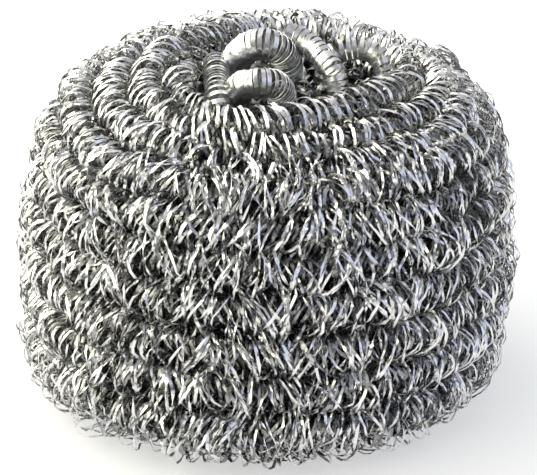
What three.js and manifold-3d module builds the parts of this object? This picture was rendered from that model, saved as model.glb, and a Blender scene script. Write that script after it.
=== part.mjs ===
// A stainless steel scourer: one flat steel ribbon curled into a springy coil, and the coil wound round
// itself into a rounded puck. The body is one solid. Its surface is a single ridge, the outer face of the
// coil, that winds from the middle of the underside out round the waist and up to a crater on top, where
// tight loops of the coil's inner end stand up. Millimetres, +Z up, origin in the middle of the underside,
// front towards -Y.

import * as THREE from "three";
import { mergeVertices } from "three/addons/utils/BufferGeometryUtils.js";
import Module from "manifold-3d";

// The puck
const DIAMETER = 80;
const HEIGHT = 54.4; // to the crests of the top turns
const WAIST_HEIGHT = 13; // where the puck is widest
const SHOULDER_FULLNESS = 3.9; // exponent of the rounded outline above the waist
const BASE_FULLNESS = 5; // the same below the waist
const BASE_PRESS = 0.8; // how far the turns of the underside are pressed flat

// The coil
const SIDE_COIL_DIAMETER = 7.3;
const TOP_COIL_DIAMETER = 6;
const NESTING = 0.4; // how far neighbouring turns press into each other
const HEART_RADIUS = 2; // where the first turn of the underside starts
const END_ANGLE = THREE.MathUtils.degToRad(160); // where the last turn ends, behind the left of the crater

// How far a turn strays from its even place, to its sides and in depth, as waves along the coil
const SIDE_STRAY = 0.6;
const DEPTH_STRAY = 0.3;
const STRAY_WAVES = [
  { share: 0.6, perTurn: 1.37, phase: 0.4 },
  { share: 0.4, perTurn: 3.19, phase: 2.1 },
];

// The crater
const LAST_TURN_RADIUS = 16.8; // of the last turn's middle, from the crater's centre
const CRATER_WALL_RUN = 2.3; // how far the wall comes in from the last turn to the floor
const CRATER_DEPTH = 6;
const CRATER_OFFSET = new THREE.Vector2(4.2, -0.4); // the crater's centre, from the puck's axis
const LEANING_RADIUS = 24; // turns within this are centred on the crater
const CENTRED_BAND = 3; // turns this near the waist's radius are centred on the axis

// The crater's rim isn't an even ring: where it stands further out or in, as a share of its radius, and
// where it stands higher or lower
const RIM_BAND = 16; // how far out from the last turn this fades
const RIM_LOBES = [
  { toward: THREE.MathUtils.degToRad(-120), share: 0.1, rise: -0.2 },
  { toward: THREE.MathUtils.degToRad(-45), share: -0.19, rise: 0.9 },
];
const LOBE_SHARPNESS = 2;

// Where the turns lie deeper than the even outline, centred so many turns below the rim and reaching so many
// turns to either side
const SAGS = [
  { toward: THREE.MathUtils.degToRad(-95), turnsDown: 1.8, reach: 1.5, depth: 2.4, sharpness: 4 },
  { toward: THREE.MathUtils.degToRad(35), turnsDown: 1.5, reach: 2.4, depth: 2.4, sharpness: 2 },
  { toward: THREE.MathUtils.degToRad(190), turnsDown: 5, reach: 2.4, depth: 1.4, sharpness: 2 },
  { toward: THREE.MathUtils.degToRad(-25), turnsDown: 9.5, reach: 2, depth: 1.5, sharpness: 3 },
];

// The tight loops that stand in the crater: where the coil's middle comes up from the floor, what it passes
// over and where it goes down again, from the crater's centre and the height of the crests
const FOOT_SINK = 3; // how far a loop's feet go on below the floor
const LOOPS = [
  // behind
  {
    diameter: 4.8,
    up: [-9.6, 9.8],
    over: [
      [-8.9, 8.7, -5.0],
      [-8.0, 7.7, -3.1],
      [-5.9, 6.3, -1.2],
      [-3.7, 5.7, -0.95],
      [-2.2, 6.2, -2.0],
      [-1.3, 7.2, -3.9],
      [-0.8, 8.3, -6.0],
    ],
    down: [-0.5, 9.0],
  },
  // in front
  {
    diameter: 4.5,
    up: [-8.8, -0.8],
    over: [
      [-8.6, -2.1, -5.8],
      [-7.6, -4.2, -3.6],
      [-5.4, -5.2, -2.6],
      [-3.6, -5.0, -2.8],
      [-2.4, -3.9, -4.0],
      [-1.9, -2.4, -5.8],
    ],
    down: [-1.6, -1.4],
  },
  // right
  {
    diameter: 3.6,
    up: [-4.6, 10.6],
    over: [
      [-2.6, 10.2, -1.0],
      [0.4, 9.2, -0.8],
      [3.0, 7.0, -1.7],
      [5.0, 4.0, -2.9],
      [6.5, 1.0, -4.1],
    ],
    down: [7.4, -1.6],
  },
  // behind right
  {
    diameter: 3.6,
    up: [5.2, 10.1],
    over: [
      [6.6, 10.4, -4.4],
      [9.3, 10.4, -3.5],
      [12.0, 9.9, -3.7],
      [14.0, 8.4, -4.8],
    ],
    down: [15.0, 5.9],
  },
  // left
  {
    diameter: 4,
    up: [-11.4, -6.5],
    over: [
      [-11.6, -3.5, -5.8],
      [-11.8, 1.5, -5.4],
      [-12.0, 6.5, -5.4],
      [-12.2, 10.0, -6.2],
    ],
    down: [-12.2, 12.5],
  },
];

// Fineness of the mesh
const OUTLINE_SAMPLES = 720;
const TURN_STEPS = 40;
const RIDGE_STEPS = 6;
const LOOP_STEPS = 18;
const LOOP_HALF_SIDES = 5;

const STEEL = new THREE.MeshStandardMaterial({ color: 0xb4b4b2, roughness: 0.3, metalness: 1 });

const wasm = await Module();
wasm.setup();

function solidOf(geometry) {
  geometry.deleteAttribute("normal");
  geometry.deleteAttribute("uv");
  const merged = mergeVertices(geometry);
  const vertProperties = merged.attributes.position.array;
  const triVerts = new Uint32Array(merged.index.array);
  return new wasm.Manifold(new wasm.Mesh({ numProp: 3, vertProperties, triVerts }));
}

function geometryOf(solid) {
  const mesh = solid.getMesh();
  const geometry = new THREE.BufferGeometry();
  geometry.setAttribute("position", new THREE.BufferAttribute(mesh.vertProperties, 3));
  geometry.setIndex(new THREE.BufferAttribute(mesh.triVerts, 1));
  geometry.computeVertexNormals();
  return geometry;
}

// Half the puck's outline through the crests, from the middle of the underside to the middle of the top: a
// superellipse below the waist and another above it.
function outlinePoint(sample) {
  const angle = Math.PI * (sample / OUTLINE_SAMPLES - 0.5);
  const upper = angle > 0;
  const power = 2 / (upper ? SHOULDER_FULLNESS : BASE_FULLNESS);
  const span = upper ? HEIGHT - WAIST_HEIGHT : -(WAIST_HEIGHT + BASE_PRESS);
  const radius = (DIAMETER / 2) * Math.cos(angle) ** power;
  return new THREE.Vector2(radius, WAIST_HEIGHT + span * Math.abs(Math.sin(angle)) ** power);
}

// The outline with the way out of it, the coil's diameter and the turns wound so far at each sample. The coil
// is tighter where the outline faces up.
function windingTable() {
  const table = [];
  let turns = 0;
  for (let sample = 0; sample <= OUTLINE_SAMPLES; sample++) {
    const before = outlinePoint(Math.max(sample - 1, 0));
    const after = outlinePoint(Math.min(sample + 1, OUTLINE_SAMPLES));
    const along = after.sub(before).normalize();
    const out = new THREE.Vector2(along.y, -along.x);
    const place = outlinePoint(sample);
    const coil = THREE.MathUtils.lerp(SIDE_COIL_DIAMETER, TOP_COIL_DIAMETER, Math.max(out.y, 0));
    if (sample > 0) turns += place.distanceTo(table[sample - 1].place) / (coil - NESTING);
    table.push({ place, out, coil, turns });
  }
  return table;
}

const TABLE = windingTable();

// Interpolates a stretch of the table by a value that rises or falls along it.
function rowAt(value, key, rows = TABLE) {
  const rising = key(rows.at(-1)) > key(rows[0]);
  const passed = (row) => (rising ? key(row) >= value : key(row) <= value);
  const next = Math.max(rows.findIndex(passed), 1);
  const [a, b] = [rows[next - 1], rows[next]];
  const share = THREE.MathUtils.clamp((value - key(a)) / (key(b) - key(a)), 0, 1);
  return {
    place: a.place.clone().lerp(b.place, share),
    out: a.out.clone().lerp(b.out, share).normalize(),
    coil: THREE.MathUtils.lerp(a.coil, b.coil, share),
    turns: THREE.MathUtils.lerp(a.turns, b.turns, share),
  };
}

function turnsAtRadius(radius, rows) {
  return rowAt(radius, (row) => row.place.x, rows).turns;
}

// The ridge starts at the heart of the underside and stops where its middle is as far in as the last turn.
const WAIST_SAMPLE = OUTLINE_SAMPLES / 2;
const FIRST_TURN = turnsAtRadius(HEART_RADIUS, TABLE.slice(0, WAIST_SAMPLE));
const LAST_TURN = turnsAtRadius(LAST_TURN_RADIUS, TABLE.slice(WAIST_SAMPLE));
const LAST_STEP = Math.floor((LAST_TURN - FIRST_TURN - 0.5) * TURN_STEPS);

const CENTRED_RADIUS = DIAMETER / 2 - CENTRED_BAND;
const RIM_FADE_RADIUS = LAST_TURN_RADIUS + RIM_BAND;

// Between -1 and 1, for a step along the ridge
function stray(step, phase) {
  const angle = (2 * Math.PI * step) / TURN_STEPS;
  const wave = (w) => w.share * Math.sin(w.perTurn * angle + w.phase + phase);
  return STRAY_WAVES.reduce((sum, w) => sum + wave(w), 0);
}

function lobe(angle, toward, sharpness) {
  return Math.max(Math.cos(angle - toward), 0) ** sharpness;
}

// How the rim's own shape scales a radius and lifts a point, from 0 away from the rim to 1 on it
function rimShape(angle, nearness) {
  let scale = 1;
  let rise = 0;
  for (const rim of RIM_LOBES) {
    const amount = nearness * lobe(angle, rim.toward, LOBE_SHARPNESS);
    scale *= 1 + rim.share * amount;
    rise += rim.rise * amount;
  }
  return { scale, rise };
}

function sag(angle, turnsDown) {
  let depth = 0;
  for (const dip of SAGS) {
    const near = THREE.MathUtils.smoothstep(-Math.abs(turnsDown - dip.turnsDown), -dip.reach, 0);
    depth += dip.depth * near * lobe(angle, dip.toward, dip.sharpness);
  }
  return depth;
}

// A point of the ridge: a step along it, and a step across it from one valley to the next. The valley on its
// far side is the near valley of the turn that comes after it.
function ridgePoint(step, across) {
  if (across === RIDGE_STEPS) return ridgePoint(step + TURN_STEPS, 0);
  const share = across / RIDGE_STEPS;
  const strayAt = (phase) => THREE.MathUtils.lerp(stray(step, phase), stray(step + TURN_STEPS, phase), share);
  const even = FIRST_TURN + step / TURN_STEPS + share;
  const { coil: evenCoil } = rowAt(even, (row) => row.turns);
  const { place, out, coil } = rowAt(even + (SIDE_STRAY * strayAt(0)) / evenCoil, (row) => row.turns);
  const aside = (share - 0.5) * (coil - NESTING);
  const groove = coil / 2 - Math.sqrt((coil / 2) ** 2 - aside ** 2);
  const turnsLeft = (LAST_STEP - step) / TURN_STEPS;
  const angle = END_ANGLE + 2 * Math.PI * turnsLeft;
  const sunk = groove + DEPTH_STRAY * (1 - strayAt(Math.PI / 2)) + sag(angle, turnsLeft - share + 0.5);
  const onTop = place.y > WAIST_HEIGHT ? 1 : 0;
  const lean = onTop * THREE.MathUtils.smoothstep(-place.x, -CENTRED_RADIUS, -LEANING_RADIUS);
  const nearness = onTop * THREE.MathUtils.smoothstep(-place.x, -RIM_FADE_RADIUS, -LAST_TURN_RADIUS);
  const { scale, rise } = rimShape(angle, nearness);
  const radius = (place.x - sunk * out.x) * scale;
  return new THREE.Vector3(
    radius * Math.cos(angle) + lean * CRATER_OFFSET.x,
    radius * Math.sin(angle) + lean * CRATER_OFFSET.y,
    place.y - sunk * out.y + rise,
  );
}

function windingTriangles() {
  const points = [];
  for (let step = 0; step < LAST_STEP; step++) {
    for (let across = 0; across < RIDGE_STEPS; across++) {
      const a = ridgePoint(step, across);
      const b = ridgePoint(step, across + 1);
      const c = ridgePoint(step + 1, across + 1);
      const d = ridgePoint(step + 1, across);
      points.push(a, b, c, a, c, d);
    }
  }
  return points;
}

// Closes the ridge below its first turn, down to a point under the floor so that the rest face runs through.
function baseTriangles() {
  const points = [];
  const centre = new THREE.Vector3(0, 0, -BASE_PRESS - SIDE_COIL_DIAMETER / 2);
  const start = ridgePoint(0, 0);
  for (let across = 1; across < RIDGE_STEPS; across++) {
    points.push(start, ridgePoint(0, across + 1), ridgePoint(0, across));
  }
  for (let step = 0; step < TURN_STEPS; step++) {
    points.push(centre, ridgePoint(step, 0), ridgePoint(step + 1, 0));
  }
  points.push(centre, ridgePoint(TURN_STEPS, 0), start);
  return points;
}

// Closes the ridge inside its last turn: the coil's end face, the crater's wall and its round floor.
function craterTriangles() {
  const points = [];
  const floor = HEIGHT - CRATER_DEPTH;
  const floorRadius = LAST_TURN_RADIUS - TOP_COIL_DIAMETER / 2 - CRATER_WALL_RUN;
  const centre = new THREE.Vector3(CRATER_OFFSET.x, CRATER_OFFSET.y, floor);
  const rim = (step) => ridgePoint(LAST_STEP + step, 0);
  const foot = (step) => {
    const angle = END_ANGLE - (2 * Math.PI * (step % TURN_STEPS)) / TURN_STEPS;
    const spoke = new THREE.Vector3(Math.cos(angle), Math.sin(angle), 0);
    return spoke.multiplyScalar(floorRadius * rimShape(angle, 1).scale).add(centre);
  };
  for (let across = 1; across < RIDGE_STEPS; across++) {
    points.push(rim(0), ridgePoint(LAST_STEP, across), ridgePoint(LAST_STEP, across + 1));
  }
  for (let step = 0; step < TURN_STEPS; step++) {
    points.push(rim(step + 1), rim(step), foot(step));
    points.push(rim(step + 1), foot(step), foot(step + 1));
    points.push(centre, foot(step + 1), foot(step));
  }
  points.push(rim(0), rim(TURN_STEPS), foot(0));
  return points;
}

function woundBody() {
  const points = [...windingTriangles(), ...baseTriangles(), ...craterTriangles()];
  return solidOf(new THREE.BufferGeometry().setFromPoints(points));
}

function belowFloor() {
  const box = new THREE.BoxGeometry(2 * DIAMETER, 2 * DIAMETER, HEIGHT);
  return solidOf(box.translate(0, 0, -HEIGHT / 2));
}

function loopSolid({ diameter, up, over, down }) {
  const crests = new THREE.Vector3(CRATER_OFFSET.x, CRATER_OFFSET.y, HEIGHT);
  const foot = -CRATER_DEPTH - FOOT_SINK;
  const route = [[...up, foot], ...over, [...down, foot]];
  const path = new THREE.CatmullRomCurve3(route.map((p) => new THREE.Vector3(...p).add(crests)));
  const section = new THREE.Shape();
  section.absarc(0, 0, diameter / 2, 0, 2 * Math.PI);
  const fineness = { steps: LOOP_STEPS, curveSegments: LOOP_HALF_SIDES };
  return solidOf(new THREE.ExtrudeGeometry(section, { extrudePath: path, bevelEnabled: false, ...fineness }));
}

function coiledRibbon() {
  let solid = woundBody().subtract(belowFloor());
  for (const loop of LOOPS) solid = solid.add(loopSolid(loop));
  const mesh = new THREE.Mesh(geometryOf(solid), STEEL);
  mesh.name = "coiled_ribbon";
  return mesh;
}

const scourer = new THREE.Group();
scourer.name = "stainless_steel_scourer";
scourer.add(coiledRibbon());

export default scourer;
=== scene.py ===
# A stainless steel scourer: one flat steel ribbon, curled into a springy coil and wound round itself into a
# rounded puck. The frame's solid gives the turns and their outer shape. The ribbon that makes them is built
# here, curl by curl, along the same winding.

import math

import bpy
import numpy as np
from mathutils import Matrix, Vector

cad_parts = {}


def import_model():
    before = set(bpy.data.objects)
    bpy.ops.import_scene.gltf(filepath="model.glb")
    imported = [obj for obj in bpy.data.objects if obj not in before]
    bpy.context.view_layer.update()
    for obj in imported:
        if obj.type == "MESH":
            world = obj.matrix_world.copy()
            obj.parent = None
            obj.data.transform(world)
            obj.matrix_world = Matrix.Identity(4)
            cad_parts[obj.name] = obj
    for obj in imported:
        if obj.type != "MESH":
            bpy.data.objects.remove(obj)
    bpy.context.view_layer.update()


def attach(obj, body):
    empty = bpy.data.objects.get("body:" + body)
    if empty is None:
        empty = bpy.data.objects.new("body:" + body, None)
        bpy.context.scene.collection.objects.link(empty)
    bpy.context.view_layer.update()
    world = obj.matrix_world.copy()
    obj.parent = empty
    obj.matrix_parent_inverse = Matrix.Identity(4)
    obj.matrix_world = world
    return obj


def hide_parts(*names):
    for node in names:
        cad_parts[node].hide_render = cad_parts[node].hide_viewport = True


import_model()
NODE = "coiled_ribbon"
MM = 0.001

# The puck, in millimetres, as in the part's source
DIAMETER = 80
HEIGHT = 54.4
WAIST_HEIGHT = 13
SHOULDER_FULLNESS = 3.9
BASE_FULLNESS = 5
BASE_PRESS = 0.8

# The coil
SIDE_COIL_DIAMETER = 7.3
TOP_COIL_DIAMETER = 6
NESTING = 0.4
HEART_RADIUS = 2
END_ANGLE = math.radians(160)
TURN_STEPS = 40  # the winding's length is a whole number of these steps
HALF_TURN = 0.5  # from the groove on one side of the coil to its middle
SIDE_STRAY = 0.6
DEPTH_STRAY = 0.3
STRAY_WAVES = ((0.6, 1.37, 0.4), (0.4, 3.19, 2.1))  # share, waves per turn, phase

# The crater and its rim
LAST_TURN_RADIUS = 16.8
CRATER_DEPTH = 6
CRATER_OFFSET = (4.2, -0.4)
LEANING_RADIUS = 24
CENTRED_BAND = 3
RIM_BAND = 16
RIM_LOBES = (  # toward, share of the radius, rise
    (math.radians(-120), 0.1, -0.2),
    (math.radians(-45), -0.19, 0.9),
)
RIM_SHARPNESS = 2
SAGS = (  # toward, turns down, span in turns, depth, sharpness
    (math.radians(-95), 1.8, 1.5, 2.4, 4),
    (math.radians(35), 1.5, 2.4, 2.4, 2),
    (math.radians(190), 5, 2.4, 1.4, 2),
    (math.radians(-25), 9.5, 2, 1.5, 3),
)

# The tight loops that stand in the crater, with the pitch and width of the ribbon in each
FOOT_SINK = 3
LOOPS = {
    "behind": {
        "diameter": 4.8,
        "pitch": 0.62,
        "width": 0.74,
        "up": (-9.6, 9.8),
        "over": (
            (-8.9, 8.7, -5.0),
            (-8.0, 7.7, -3.1),
            (-5.9, 6.3, -1.2),
            (-3.7, 5.7, -0.95),
            (-2.2, 6.2, -2.0),
            (-1.3, 7.2, -3.9),
            (-0.8, 8.3, -6.0),
        ),
        "down": (-0.5, 9.0),
    },
    "in_front": {
        "diameter": 4.5,
        "pitch": 0.56,
        "width": 0.66,
        "up": (-8.8, -0.8),
        "over": (
            (-8.6, -2.1, -5.8),
            (-7.6, -4.2, -3.6),
            (-5.4, -5.2, -2.6),
            (-3.6, -5.0, -2.8),
            (-2.4, -3.9, -4.0),
            (-1.9, -2.4, -5.8),
        ),
        "down": (-1.6, -1.4),
    },
    "right": {
        "diameter": 3.6,
        "pitch": 1.05,
        "width": 0.68,
        "up": (-4.6, 10.6),
        "over": (
            (-2.6, 10.2, -1.0),
            (0.4, 9.2, -0.8),
            (3.0, 7.0, -1.7),
            (5.0, 4.0, -2.9),
            (6.5, 1.0, -4.1),
        ),
        "down": (7.4, -1.6),
    },
    "behind_right": {
        "diameter": 3.6,
        "pitch": 1.05,
        "width": 0.7,
        "up": (5.2, 10.1),
        "over": ((6.6, 10.4, -4.4), (9.3, 10.4, -3.5), (12.0, 9.9, -3.7), (14.0, 8.4, -4.8)),
        "down": (15.0, 5.9),
    },
    "left": {
        "diameter": 4,
        "pitch": 1.05,
        "width": 0.8,
        "up": (-11.4, -6.5),
        "over": ((-11.6, -3.5, -5.8), (-11.8, 1.5, -5.4), (-12.0, 6.5, -5.4), (-12.2, 10.0, -6.2)),
        "down": (-12.2, 12.5),
    },
}

# The ribbon
RIBBON_THICKNESS = 0.09
FLOOR_CLEARANCE = 0.45  # lowest the ribbon's middle may lie
FLOOR_STIFFNESS = 4  # how sharply it flattens there
FLAT_SECTION = ((1, 1), (-1, 1), (-1, -1), (1, -1))  # corners, in half widths and half thicknesses
RIDGED_SECTION = ((1, 1), (-1, 1), (0, -1))
SIDE_CORNERS = 4  # of each face along the ribbon
FULL_MESS = 1
NO_LEAN = 0
MOST_LEAN = 0.6
MOST_WIDENING = 0.4
TUFT = 6  # curls that bunch together
SPARE_VALUES = 3  # random values past the last curl
KINKS = 22  # in a curl
WEAVES = 7  # in a curl
KINK_GROWTH = 1.5  # power of the mess
PITCH_WAVES = ((0.21, 0), (0.083, 1))  # radians per curl, phase
SEED = 11

# How the outermost coil's ribbon curls, by the turns left before the coil's upper end
TIDY_TURNS = (0, 1.1, 2.2, 3.4)
TURN_MESS = (0.4, 0.42, 0.48, 0.54)
TURN_LEAN = (math.radians(22), math.radians(22), math.radians(8), math.radians(-5))
TURN_PITCH = (1.2, 1.1, 0.8, 0.74)
TURN_WIDTH = (0.52, 0.43, 0.4, 0.39)
LOW_TURNS = TIDY_TURNS[2:]  # turns left over which the upper winding passes into the lower
UNDERSIDE_SLOPE = -0.6  # the underside is where the way out points down more than this
UNDERSIDE_PITCH = 1.3

# The tangle in front, as shares added to the mess, pitch and width on the turns below the uppermost
FRONT = math.radians(-95)
FRONT_SHARPNESS = 2
TANGLE_TURNS = (1.4, 2.6)  # turns left where it starts and is full
FRONT_MESS = 0.75
FRONT_PITCH = -0.32
FRONT_WIDTH = 0.1
REAR_TANGLE = 0.5  # share of the front's

# The ribbon in the grooves between the turns
GROOVE_SHARE = 0.4  # of the coil's radius
FRONT_GROOVE_SHARE = 0.75
GROOVE_DEPTH = 3.1
FRONT_GROOVE_DEPTH = 1.6
UPPER_GROOVE_DEPTH = 3.4
GROOVE_PITCH = 1.7  # in pitches of the coil

# The ribbon that fills the outermost coil, and the layers inside it
CORE_PITCH = 1
CORE_WIDTH = 0.5
UPPER_CORE_INSET = 0.7
UPPER_CORE_PITCH = 1.7
UPPER_CORE_WIDTH = 0.4
INNER_INSET = 6
INNER_TOP_DROP = 7
INNER_PITCH = 0.85
INNER_WIDTH = 0.72
HEART_INSET = 12
HEART_TOP_DROP = 13
HEART_PITCH = 1.6

# How each ribbon strays from an even curl: lengths in millimetres, spreads for a mess of 1
OUTER = {
    "section": RIDGED_SECTION,
    "segments": 22,  # in a curl
    "inset": 0.4,
    "pitch_wander": 0.6,  # in curls
    "radius_spread": 0.1,  # share of the radius
    "lean_spread": math.radians(26),
    "yaw_spread": math.radians(24),
    "shift_spread": 0.25,
    "wander_spread": 0.4,
    "slip_spread": 0.45,
    "twist": 0,
    "twist_spread": math.radians(22),
    "kink_spread": math.radians(70),
    "kink_shift": 0.09,
    "weave": 0.7,
    "width_spread": 0.12,  # share of the width
    "painted_shade_span": (-0.25, 0.7),  # radii outwards where the painted shade is darkest and where the ribbon is fully bright
}
# painted shade: the grooves, the core and the inner layers lie deeper in it than the outermost ribbon
GROOVE = {**OUTER, "segments": 12, "inset": 0, "painted_shade_span": (0.2, 1.6)}
CORE = {
    **OUTER,
    "segments": 10,
    "inset": 1.4,
    "twist_spread": math.radians(12),
    "kink_spread": math.radians(20),
    "kink_shift": 0.1,
    "weave": 0.3,
    "painted_shade_span": (0.5, 1.7),
}
INNER = {**OUTER, "segments": 10, "inset": 0.3, "kink_spread": math.radians(45), "painted_shade_span": (0.9, 1.9)}
HEART = {**INNER, "segments": 6}
LOOP = {
    "section": FLAT_SECTION,
    "segments": 28,
    "inset": 0.05,
    "pitch_wander": 0.1,
    "radius_spread": 0.01,
    "lean_spread": math.radians(1.2),
    "yaw_spread": math.radians(1.2),
    "shift_spread": 0.04,
    "wander_spread": 0,
    "slip_spread": 0.05,
    "twist": math.radians(11),
    "twist_spread": math.radians(4),
    "kink_spread": math.radians(2),
    "kink_shift": 0,
    "weave": 0,
    "width_spread": 0,
    "painted_shade_span": (-2, 0.2),
}

# Columns of a spine: its middle, the way out of the puck, the coil's radius, and how the ribbon curls there
MIDDLE = slice(0, 3)
OUT = slice(3, 6)
RADIUS, MESS, LEAN, PITCH, WIDTH, TURNS_LEFT = range(6, 12)

# Fineness
OUTLINE_SAMPLES = 720
OUTER_SAMPLES = 40000
INNER_SAMPLES = 30000
LOOP_SAMPLES = 400  # in each stretch between two points
PIECE_TRIANGLES = 180000
BAKE_CELL_SHARE = 0.9  # of a grid cell that a face takes

# Finish, and the painted shade deep in the tangle
SPOT_SCALE = 420
SPOT_DETAIL = 3
TONE_SPAN = (0.3, 0.7)
PAINTED_DEEP_SHADE = 0.4  # painted shade: the base colour's brightness in the depth of the tangle
WAVE_SCALE = 800
WAVE_DETAIL = 1
WAVE_HEIGHT = 0.2

# Camera, floor and light, in metres
VIEW_ELEVATION = math.radians(26)
VIEW_DISTANCE = 0.4
VIEW_LENS = 169.3
VIEW_SENSOR = 36
VIEW_SHIFT = 0.0007
VIEW_AIM = (-0.0003, 0, 0.0226)
FLOOR_RADIUS = 6
FLOOR_SIDES = 96
FLOOR_TONE = 0.5
FLOOR_ROUGHNESS = 0.7
FLOOR_GLOW = 0.5  # added where the floor is seen
BRIGHT_SIDE = (-0.75, 0.66, 0)  # where the light from all round is brightest
SIDE_SPAN = (-0.25, 0.4)  # towards that side, where the light starts to rise and is full
SKY_STRENGTH = (0.09, 0.85)
SKY_COLOUR = (0.97, 0.98, 1.0, 1)
LIGHT_AIM = (0, 0, 0.03)
LIGHTS = {
    "key_left": {"place": (-1.1, 0.2, 0.38), "size": (4.6, 2.8), "power": 100, "colour": (1, 0.97, 0.76)},
    "cool_right": {"place": (0.7, -0.4, 0.35), "size": (1.4, 1.2), "power": 5, "colour": (0.72, 0.79, 1)},
    "top": {"place": (0, 0.15, 0.8), "size": (1.8, 1.8), "power": 4, "colour": (1, 1, 1)},
}


def blend(start, end, share):
    return start + (end - start) * share


def smoothstep(value, low, high):
    share = np.clip((value - low) / (high - low), 0, 1)
    return share * share * (3 - 2 * share)


def lobe(angle, toward, sharpness):
    """A bump of height 1 towards one side."""
    return np.maximum(np.cos(angle - toward), 0) ** sharpness


def unit(vectors):
    return vectors / np.linalg.norm(vectors, axis=1, keepdims=True)


def around(radius, height, angle):
    """Points or directions at an angle round the upright axis."""
    return np.column_stack([radius * np.cos(angle), radius * np.sin(angle), height])


def outline(reach, low, waist, high):
    """Half an outline through the crests, from the middle of the underside to the middle of the top."""
    angle = np.linspace(-math.pi / 2, math.pi / 2, OUTLINE_SAMPLES + 1)
    upper = angle > 0
    power = 2 / np.where(upper, SHOULDER_FULLNESS, BASE_FULLNESS)
    span = np.where(upper, high - waist, waist - low)
    radius = reach * np.abs(np.cos(angle)) ** power
    height = waist + span * np.sign(angle) * np.abs(np.sin(angle)) ** power
    return np.stack([radius, height], axis=1)


def winding_table(reach, low, waist, high):
    """Columns along an outline: radius, height, two for the way out, coil diameter, turns so far."""
    place = outline(reach, low, waist, high)
    along = np.empty_like(place)
    along[1:-1] = place[2:] - place[:-2]
    along[0] = place[1] - place[0]
    along[-1] = place[-1] - place[-2]
    along = unit(along)
    out = np.stack([along[:, 1], -along[:, 0]], axis=1)
    coil = blend(SIDE_COIL_DIAMETER, TOP_COIL_DIAMETER, np.maximum(out[:, 1], 0))
    steps = np.linalg.norm(np.diff(place, axis=0), axis=1) / (coil[1:] - NESTING)
    turns = np.concatenate([[0], np.cumsum(steps)])
    return np.column_stack([place, out, coil, turns])


def columns_at(table, turns):
    """All columns of a winding table but the last, at other numbers of turns."""
    return [np.interp(turns, table[:, -1], column) for column in table.T[:-1]]


def turns_at_radius(table, radius, on_top):
    half = OUTLINE_SAMPLES // 2
    part = table[half:][::-1] if on_top else table[:half]
    radii, *_, turns = part.T
    return float(np.interp(radius, radii, turns))


def stray(turn, phase):
    """How far a groove strays, as a share."""
    waves = (share * np.sin(2 * math.pi * rate * turn + start + phase) for share, rate, start in STRAY_WAVES)
    return sum(waves)


def coil_stray(turn, phase):
    """The mean stray of the two grooves beside a coil."""
    return (stray(turn, phase) + stray(turn + 1, phase)) / 2


def sagged(depth, angle, turns_left):
    """A depth below the outline, with the sags of the turns added."""
    for toward, turns_down, span, dip, sharpness in SAGS:
        near = smoothstep(-np.abs(turns_left - turns_down), -span, 0)
        depth = depth + dip * near * lobe(angle, toward, sharpness)
    return depth


def rim_shaped(reach, angle, near_rim):
    """A radius that follows the crater's uneven rim, and how far the rim rises there."""
    rise = np.zeros_like(reach)
    for toward, share, lift in RIM_LOBES:
        amount = near_rim * lobe(angle, toward, RIM_SHARPNESS)
        reach = reach * (1 + share * amount)
        rise += lift * amount
    return reach, rise


def outer_curls(angle, turns_left, out_z):
    """Mess, lean, pitch and ribbon width along the outermost coil."""
    rows = (TURN_MESS, TURN_LEAN, TURN_PITCH, TURN_WIDTH)
    mess, lean, pitch, width = (np.interp(turns_left, TIDY_TURNS, row) for row in rows)
    tangled = lobe(angle, FRONT, FRONT_SHARPNESS)
    tangled += REAR_TANGLE * lobe(angle, FRONT + math.pi, FRONT_SHARPNESS)
    tangled *= smoothstep(turns_left, *TANGLE_TURNS)
    mess *= 1 + FRONT_MESS * tangled
    pitch *= 1 + FRONT_PITCH * tangled
    width *= 1 + FRONT_WIDTH * tangled
    pitch = np.where(out_z < UNDERSIDE_SLOPE, UNDERSIDE_PITCH, pitch)
    return np.column_stack([mess, lean, pitch, width])


def outer_spine(between=0):
    """The spine of the outermost coil, or of what winds a part of a turn beside it."""
    table = winding_table(DIAMETER / 2, -BASE_PRESS, WAIST_HEIGHT, HEIGHT)
    first = turns_at_radius(table, HEART_RADIUS, on_top=False)
    last = turns_at_radius(table, LAST_TURN_RADIUS, on_top=True)
    length = math.floor((last - first - HALF_TURN) * TURN_STEPS) / TURN_STEPS
    turn = np.linspace(0, length - between, OUTER_SAMPLES)
    angle = END_ANGLE + 2 * math.pi * (length - turn)
    turns_left = length - turn - between
    even = first + turn + HALF_TURN + between
    *_, even_coil = columns_at(table, even)
    aside = SIDE_STRAY * coil_stray(turn, 0)
    radius, height, out_r, out_z, coil = columns_at(table, even + aside / even_coil)
    on_top = height > WAIST_HEIGHT
    leaning = smoothstep(-radius, CENTRED_BAND - DIAMETER / 2, -LEANING_RADIUS) * on_top
    near_rim = smoothstep(-radius, -LAST_TURN_RADIUS - RIM_BAND, -LAST_TURN_RADIUS) * on_top
    depth = DEPTH_STRAY * (1 - coil_stray(turn, math.pi / 2))
    sunk = sagged(coil / 2 + depth, angle, turns_left)
    reach, rise = rim_shaped(radius - sunk * out_r, angle, near_rim)
    middle = around(reach, height - sunk * out_z + rise, angle)
    middle[:, :2] += leaning[:, None] * CRATER_OFFSET
    out = around(out_r, out_z, angle)
    return np.column_stack([middle, out, coil / 2, outer_curls(angle, turns_left, out_z), turns_left])


def groove_spine():
    """A thinner coil in the grooves between the turns: shallower and fuller in front than elsewhere."""
    spine = outer_spine(between=HALF_TURN)
    x, y, _ = spine[:, MIDDLE].T
    low = smoothstep(spine[:, TURNS_LEFT], *LOW_TURNS)
    filling = lobe(np.arctan2(y, x), FRONT, FRONT_SHARPNESS) * low
    depth = blend(UPPER_GROOVE_DEPTH, GROOVE_DEPTH, low)
    depth += (FRONT_GROOVE_DEPTH - GROOVE_DEPTH) * filling
    spine[:, MIDDLE] -= spine[:, OUT] * depth[:, None]
    spine[:, RADIUS] *= blend(GROOVE_SHARE, FRONT_GROOVE_SHARE, filling)
    spine[:, PITCH] *= GROOVE_PITCH
    return spine


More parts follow.
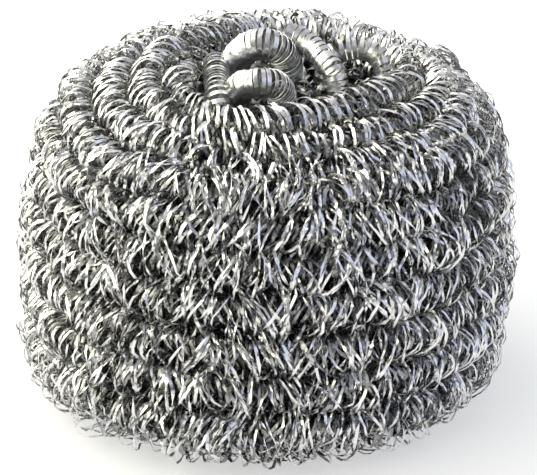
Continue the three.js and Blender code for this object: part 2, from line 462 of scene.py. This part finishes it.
def core_spine():
    """The outermost coil's spine again, for the ribbon that fills it, less on the upper turns."""
    spine = outer_spine()
    filled = smoothstep(spine[:, TURNS_LEFT], *LOW_TURNS)
    spine[:, RADIUS] -= UPPER_CORE_INSET * (1 - filled)
    spine[:, PITCH] = blend(UPPER_CORE_PITCH, CORE_PITCH, filled)
    spine[:, WIDTH] = blend(UPPER_CORE_WIDTH, CORE_WIDTH, filled)
    return spine


def inner_spine(inset, top_drop, pitch):
    """The spine of a coil wound the same way one or two layers further in."""
    table = winding_table(DIAMETER / 2 - inset, inset, WAIST_HEIGHT + inset / 2, HEIGHT - top_drop)
    first = turns_at_radius(table, HEART_RADIUS, on_top=False)
    last = turns_at_radius(table, HEART_RADIUS, on_top=True)
    turn = np.linspace(first, last, INNER_SAMPLES)
    radius, height, out_r, out_z, coil = columns_at(table, turn)
    angle = END_ANGLE - 2 * math.pi * turn
    middle = around(radius - coil / 2 * out_r, height - coil / 2 * out_z, angle)
    curls = np.tile([FULL_MESS, NO_LEAN, pitch, INNER_WIDTH], (len(turn), 1))
    return np.column_stack([middle, around(out_r, out_z, angle), coil / 2, curls])


def loop_spine(diameter, pitch, width, up, over, down):
    """The spine of a loop that stands in the crater, on a smooth curve through its points."""
    foot = -CRATER_DEPTH - FOOT_SINK
    points = np.array([(*up, foot), *over, (*down, foot)], dtype=float)
    points += (*CRATER_OFFSET, HEIGHT)
    padded = np.vstack([2 * points[0] - points[1], points, 2 * points[-1] - points[-2]])
    share = np.linspace(0, 1, LOOP_SAMPLES, endpoint=False)[:, None]
    stretches = []
    for before, start, end, after in zip(padded, padded[1:], padded[2:], padded[3:]):
        slope = (end - before) / 2
        bend = (2 * before - 5 * start + 4 * end - after) / 2
        swing = (3 * start - before - 3 * end + after) / 2
        stretches.append(start + slope * share + bend * share**2 + swing * share**3)
    middle = np.vstack([*stretches, points[-1:]])
    between_feet = (points[0] + points[-1]) / 2
    curls = np.tile([diameter / 2, FULL_MESS, NO_LEAN, pitch, width], (len(middle), 1))
    return np.column_stack([middle, unit(middle - between_feet), curls])


def per_curl(rng, count, spread, place):
    """One random value for each curl, blended smoothly from curl to curl."""
    values = rng.normal(0, spread, count + SPARE_VALUES)
    whole = np.floor(place).astype(int)
    share = smoothstep(place - whole, 0, 1)
    return values[whole] * (1 - share) + values[whole + 1] * share


def place_curls(spine, style):
    """Even steps along a spine, counted in curls, and the spine's columns at each."""
    stretches = np.linalg.norm(np.diff(spine[:, MIDDLE], axis=0), axis=1)
    along = np.concatenate([[0], np.cumsum(stretches)])
    curls = np.concatenate([[0], np.cumsum(np.diff(along) / spine[1:, PITCH])])
    curls = curls + style["pitch_wander"] * sum(np.sin(curls * rate + start) for rate, start in PITCH_WAVES)
    place = np.arange(curls[0], curls[-1], 1 / style["segments"])
    return place, np.column_stack([np.interp(place, curls, column) for column in spine.T])


def curl(spine, style, rng):
    """The ribbon's middle line, half its width and thickness as vectors, and how open each place lies, for
    the painted shade.
    """
    place, at = place_curls(spine, style)
    middle = at[:, MIDDLE]
    mess = at[:, MESS]
    kinked = mess**KINK_GROWTH
    count = int(place[-1]) + 1

    def noise(spread):
        by_curl = per_curl(rng, count, spread, place)
        by_tuft = per_curl(rng, count, spread, place / TUFT)
        return mess * (by_curl + by_tuft)

    def kink(spread):
        return kinked * per_curl(rng, KINKS * count, spread, KINKS * place)

    def shift():
        shifted = noise(style["shift_spread"])
        wander = mess * per_curl(rng, count, style["wander_spread"], place / TUFT)
        return shifted + wander + kink(style["kink_shift"])

    forward = unit(np.gradient(middle, axis=0))
    out = at[:, OUT]
    out = unit(out - forward * np.sum(out * forward, axis=1, keepdims=True))
    side = np.cross(forward, out)
    cos = np.cos(2 * math.pi * place)
    sin = np.sin(2 * math.pi * place)

    radius = (at[:, RADIUS] - style["inset"]) * (1 + noise(style["radius_spread"]))
    lean = np.tan(np.clip(at[:, LEAN] + noise(style["lean_spread"]), -MOST_LEAN, MOST_LEAN))
    yaw = np.tan(np.clip(noise(style["yaw_spread"]), -MOST_LEAN, MOST_LEAN))
    weave = kinked * per_curl(rng, WEAVES * count, style["weave"], WEAVES * place)
    outwards = shift() + (radius + weave) * cos
    sideways = shift() + (radius + weave) * sin
    forwards = noise(style["slip_spread"]) + kink(style["kink_shift"])
    forwards += radius * sin * lean + radius * cos * yaw
    line = middle + out * outwards[:, None] + side * sideways[:, None] + forward * forwards[:, None]
    clear = (line[:, 2] - FLOOR_CLEARANCE) * FLOOR_STIFFNESS
    line[:, 2] = FLOOR_CLEARANCE + np.logaddexp(0, clear) / FLOOR_STIFFNESS

    tangent = unit(np.gradient(line, axis=0))
    across = unit(np.cross(tangent, out * cos[:, None] + side * sin[:, None]))
    face = np.cross(across, tangent)
    twist = (style["twist"] + noise(style["twist_spread"]) + kink(style["kink_spread"]))[:, None]
    twisted_across = across * np.cos(twist) + face * np.sin(twist)
    twisted_face = face * np.cos(twist) - across * np.sin(twist)
    widening = np.clip(noise(style["width_spread"]), -MOST_WIDENING, MOST_WIDENING)
    breadth = at[:, WIDTH] * (1 + widening)
    # painted shade: the further in towards the coil's axis a place lies, the darker its base colour
    outness = np.sum((line - middle) * out, axis=1) / at[:, RADIUS]
    painted_shade_openness = smoothstep(outness, *style["painted_shade_span"])
    return line, twisted_across * breadth[:, None] / 2, twisted_face * RIBBON_THICKNESS / 2, painted_shade_openness


def bake_map(faces, corners):
    """A cell of a square grid for each face of a ribbon, its sides first and then the two end caps."""
    per_row = math.ceil(math.sqrt(faces))
    cell = np.arange(faces)
    origin = np.column_stack([cell % per_row, cell // per_row]) / per_row
    square = np.array([(0, 0), (1, 0), (1, 1), (0, 1)]) * (BAKE_CELL_SHARE / per_row)
    sides = origin[:-2, None, :] + square[None, :, :]
    caps = origin[-2:, None, :] + square[None, :corners, :]
    return np.concatenate([sides.reshape(-1, 2), caps.reshape(-1, 2)]).astype(np.float32)


def ribbon_mesh(name, line, width, face, painted_shade_openness, section):
    """A closed ribbon with sharp long edges, and how open each place lies for the painted shade."""
    rings = np.stack([line + width * across + face * through for across, through in section], axis=1)
    count = len(line)
    corners = len(section)
    index = np.arange(count * corners).reshape(count, corners)
    after = np.roll(index, -1, axis=1)
    sides = np.stack([index[:-1], index[1:], after[1:], after[:-1]], axis=2).ravel()
    face_corners = np.concatenate([sides, index[0], index[-1, ::-1]])
    cap_starts = sides.size + np.array([0, corners])
    starts = np.concatenate([np.arange(0, sides.size, SIDE_CORNERS), cap_starts])
    mesh = bpy.data.meshes.new(name)
    mesh.vertices.add(count * corners)
    mesh.vertices.foreach_set("co", (rings * MM).astype(np.float32).ravel())
    mesh.loops.add(len(face_corners))
    mesh.loops.foreach_set("vertex_index", face_corners.astype(np.int32))
    mesh.polygons.add(len(starts))
    mesh.polygons.foreach_set("loop_start", starts.astype(np.int32))
    mesh.update(calc_edges=True)
    mesh.uv_layers.new(name="OFBake").data.foreach_set("uv", bake_map(len(starts), corners).ravel())
    ends = np.empty(len(mesh.edges) * 2, dtype=np.int32)
    mesh.edges.foreach_get("vertices", ends)
    first_ends, last_ends = ends.reshape(-1, 2).T
    lengthwise = np.abs(first_ends - last_ends) == corners
    mesh.attributes.new("sharp_edge", "BOOLEAN", "EDGE").data.foreach_set("value", lengthwise)
    mesh.polygons.foreach_set("use_smooth", np.ones(len(starts), dtype=bool))
    by_corner = np.repeat(painted_shade_openness, corners).astype(np.float32)
    mesh.attributes.new("painted_shade_openness", "FLOAT", "POINT").data.foreach_set("value", by_corner)
    return mesh


def ribbon(name, spine, style, rng, material):
    """One ribbon along a spine, in as many pieces as its triangles need."""
    line, width, face, painted_shade_openness = curl(spine, style, rng)
    section = style["section"]
    most_rings = PIECE_TRIANGLES // (2 * len(section))
    parts = math.ceil(len(line) / most_rings)
    cuts = np.linspace(0, len(line) - 1, parts + 1).astype(int)
    for part, (start, end) in enumerate(zip(cuts, cuts[1:])):
        cut = slice(start, end + 1)
        part_name = f"{name}_{part + 1}" if parts > 1 else name
        mesh = ribbon_mesh(part_name, line[cut], width[cut], face[cut], painted_shade_openness[cut], section)
        mesh.materials.append(material)
        piece = bpy.data.objects.new(part_name, mesh)
        bpy.context.scene.collection.objects.link(piece)
        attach(piece, "root")
        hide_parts(NODE)


def noise_value(tree, place, scale, detail):
    noise = tree.nodes.new("ShaderNodeTexNoise")
    noise.inputs["Scale"].default_value = scale
    noise.inputs["Detail"].default_value = detail
    tree.links.new(place, noise.inputs["Vector"])
    return noise.outputs["Fac"]


def mapped_value(tree, value, target, source=(0, 1)):
    """A value moved from one range to another."""
    ramp = tree.nodes.new("ShaderNodeMapRange")
    ramp.inputs["From Min"].default_value, ramp.inputs["From Max"].default_value = source
    ramp.inputs["To Min"].default_value, ramp.inputs["To Max"].default_value = target
    tree.links.new(value, ramp.inputs["Value"])
    return ramp.outputs["Result"]


def larger_value(tree, first, second):
    larger = tree.nodes.new("ShaderNodeMath")
    larger.operation = "MAXIMUM"
    tree.links.new(first, larger.inputs[0])
    tree.links.new(second, larger.inputs[1])
    return larger.outputs["Value"]


def steel(name, dark, pale, least_rough, most_rough):
    """Bright rolled steel, with small changes of tone, gloss and surface, and painted shade that darkens it
    deep in the tangle.
    """
    material = bpy.data.materials.new(name)
    material.use_nodes = True
    tree = material.node_tree
    shader = tree.nodes["Principled BSDF"]
    shader.inputs["Metallic"].default_value = 1
    place = tree.nodes.new("ShaderNodeTexCoord").outputs["Object"]
    spots = noise_value(tree, place, SPOT_SCALE, SPOT_DETAIL)
    tone = tree.nodes.new("ShaderNodeValToRGB")
    for stop, position, level in zip(tone.color_ramp.elements, TONE_SPAN, (dark, pale)):
        stop.position = position
        stop.color = (level, level, level, 1)
    tree.links.new(spots, tone.inputs["Fac"])
    # painted shade: the base colour is darkened where the ribbon lies deep in the tangle
    painted_shade_openness = tree.nodes.new("ShaderNodeAttribute")
    painted_shade_openness.attribute_name = "painted_shade_openness"
    shaded = tree.nodes.new("ShaderNodeVectorMath")
    shaded.operation = "SCALE"
    tree.links.new(tone.outputs["Color"], shaded.inputs[0])
    tree.links.new(mapped_value(tree, painted_shade_openness.outputs["Fac"], (PAINTED_DEEP_SHADE, 1)), shaded.inputs["Scale"])
    tree.links.new(shaded.outputs["Vector"], shader.inputs["Base Color"])
    tree.links.new(mapped_value(tree, spots, (least_rough, most_rough)), shader.inputs["Roughness"])
    bump = tree.nodes.new("ShaderNodeBump")
    bump.inputs["Strength"].default_value = 1
    bump.inputs["Distance"].default_value = WAVE_HEIGHT * MM
    tree.links.new(noise_value(tree, place, WAVE_SCALE, WAVE_DETAIL), bump.inputs["Height"])
    tree.links.new(bump.outputs["Normal"], shader.inputs["Normal"])
    return material


def floor():
    """A pale floor that shows as white to the eye and in the steel, and keeps the shadow."""
    material = bpy.data.materials.new("pale_floor")
    material.use_nodes = True
    tree = material.node_tree
    shader = tree.nodes["Principled BSDF"]
    shader.inputs["Base Color"].default_value = (FLOOR_TONE, FLOOR_TONE, FLOOR_TONE, 1)
    shader.inputs["Roughness"].default_value = FLOOR_ROUGHNESS
    path = tree.nodes.new("ShaderNodeLightPath")
    seen = larger_value(tree, path.outputs["Is Camera Ray"], path.outputs["Is Glossy Ray"])
    seen = larger_value(tree, seen, path.outputs["Is Transmission Ray"])
    shader.inputs["Emission Color"].default_value = (1, 1, 1, 1)
    tree.links.new(mapped_value(tree, seen, (0, FLOOR_GLOW)), shader.inputs["Emission Strength"])
    bpy.ops.mesh.primitive_circle_add(
        vertices=FLOOR_SIDES, radius=FLOOR_RADIUS, fill_type="NGON", location=(0, 0, 0)
    )
    disc = bpy.context.object
    disc.name = "floor"
    disc.data.materials.append(material)


def world():
    """Plain light from all round, brighter behind and to the left than in front."""
    sky = bpy.data.worlds.new("studio")
    sky.use_nodes = True
    bpy.context.scene.world = sky
    tree = sky.node_tree
    back = tree.nodes["Background"]
    back.inputs["Color"].default_value = SKY_COLOUR
    towards = tree.nodes.new("ShaderNodeVectorMath")
    towards.operation = "DOT_PRODUCT"
    towards.inputs[1].default_value = BRIGHT_SIDE
    tree.links.new(tree.nodes.new("ShaderNodeTexCoord").outputs["Generated"], towards.inputs[0])
    strength = mapped_value(tree, towards.outputs["Value"], SKY_STRENGTH, SIDE_SPAN)
    tree.links.new(strength, back.inputs["Strength"])


def aim(thing, target):
    thing.rotation_euler = (Vector(target) - thing.location).to_track_quat("-Z", "Y").to_euler()


def area_light(name, place, size, power, colour):
    data = bpy.data.lights.new(name, "AREA")
    data.shape = "RECTANGLE"
    data.size, data.size_y = size
    data.energy = power
    data.color = colour
    lamp = bpy.data.objects.new(name, data)
    lamp.location = place
    aim(lamp, LIGHT_AIM)
    bpy.context.scene.collection.objects.link(lamp)


def camera():
    """The photo's view, from in front and above."""
    data = bpy.data.cameras.new("camera")
    data.sensor_width = VIEW_SENSOR
    data.sensor_fit = "HORIZONTAL"
    data.lens = VIEW_LENS
    eye = bpy.data.objects.new("camera", data)
    aside = Vector((VIEW_SHIFT, 0, 0))
    middle = Vector((0, 0, HEIGHT / 2 * MM))
    back = Vector((0, -math.cos(VIEW_ELEVATION), math.sin(VIEW_ELEVATION)))
    eye.location = middle + back * VIEW_DISTANCE + aside
    aim(eye, Vector(VIEW_AIM) + aside)
    bpy.context.scene.collection.objects.link(eye)
    bpy.context.scene.camera = eye


bpy.context.scene.view_settings.view_transform = "Standard"
camera()
floor()
world()
for light_name, light in LIGHTS.items():
    area_light(light_name, **light)

rng = np.random.default_rng(SEED)
bright_steel = steel("steel_ribbon", dark=0.66, pale=0.9, least_rough=0.17, most_rough=0.38)
# the loops' steel is satin and a little darker in tone than the ribbon's; the darker tone is painted shade
# that tempers the key light's glare on the loops
satin_shaded_steel = steel("steel_loop", dark=0.6, pale=0.86, least_rough=0.26, most_rough=0.42)
ribbon("ribbon_outer", outer_spine(), OUTER, rng, bright_steel)
ribbon("ribbon_core", core_spine(), CORE, rng, bright_steel)
ribbon("ribbon_groove", groove_spine(), GROOVE, rng, bright_steel)
ribbon("ribbon_inner", inner_spine(INNER_INSET, INNER_TOP_DROP, INNER_PITCH), INNER, rng, bright_steel)
ribbon("ribbon_heart", inner_spine(HEART_INSET, HEART_TOP_DROP, HEART_PITCH), HEART, rng, bright_steel)
for loop_name, loop in LOOPS.items():
    ribbon(f"loop_{loop_name}", loop_spine(**loop), LOOP, rng, satin_shaded_steel)
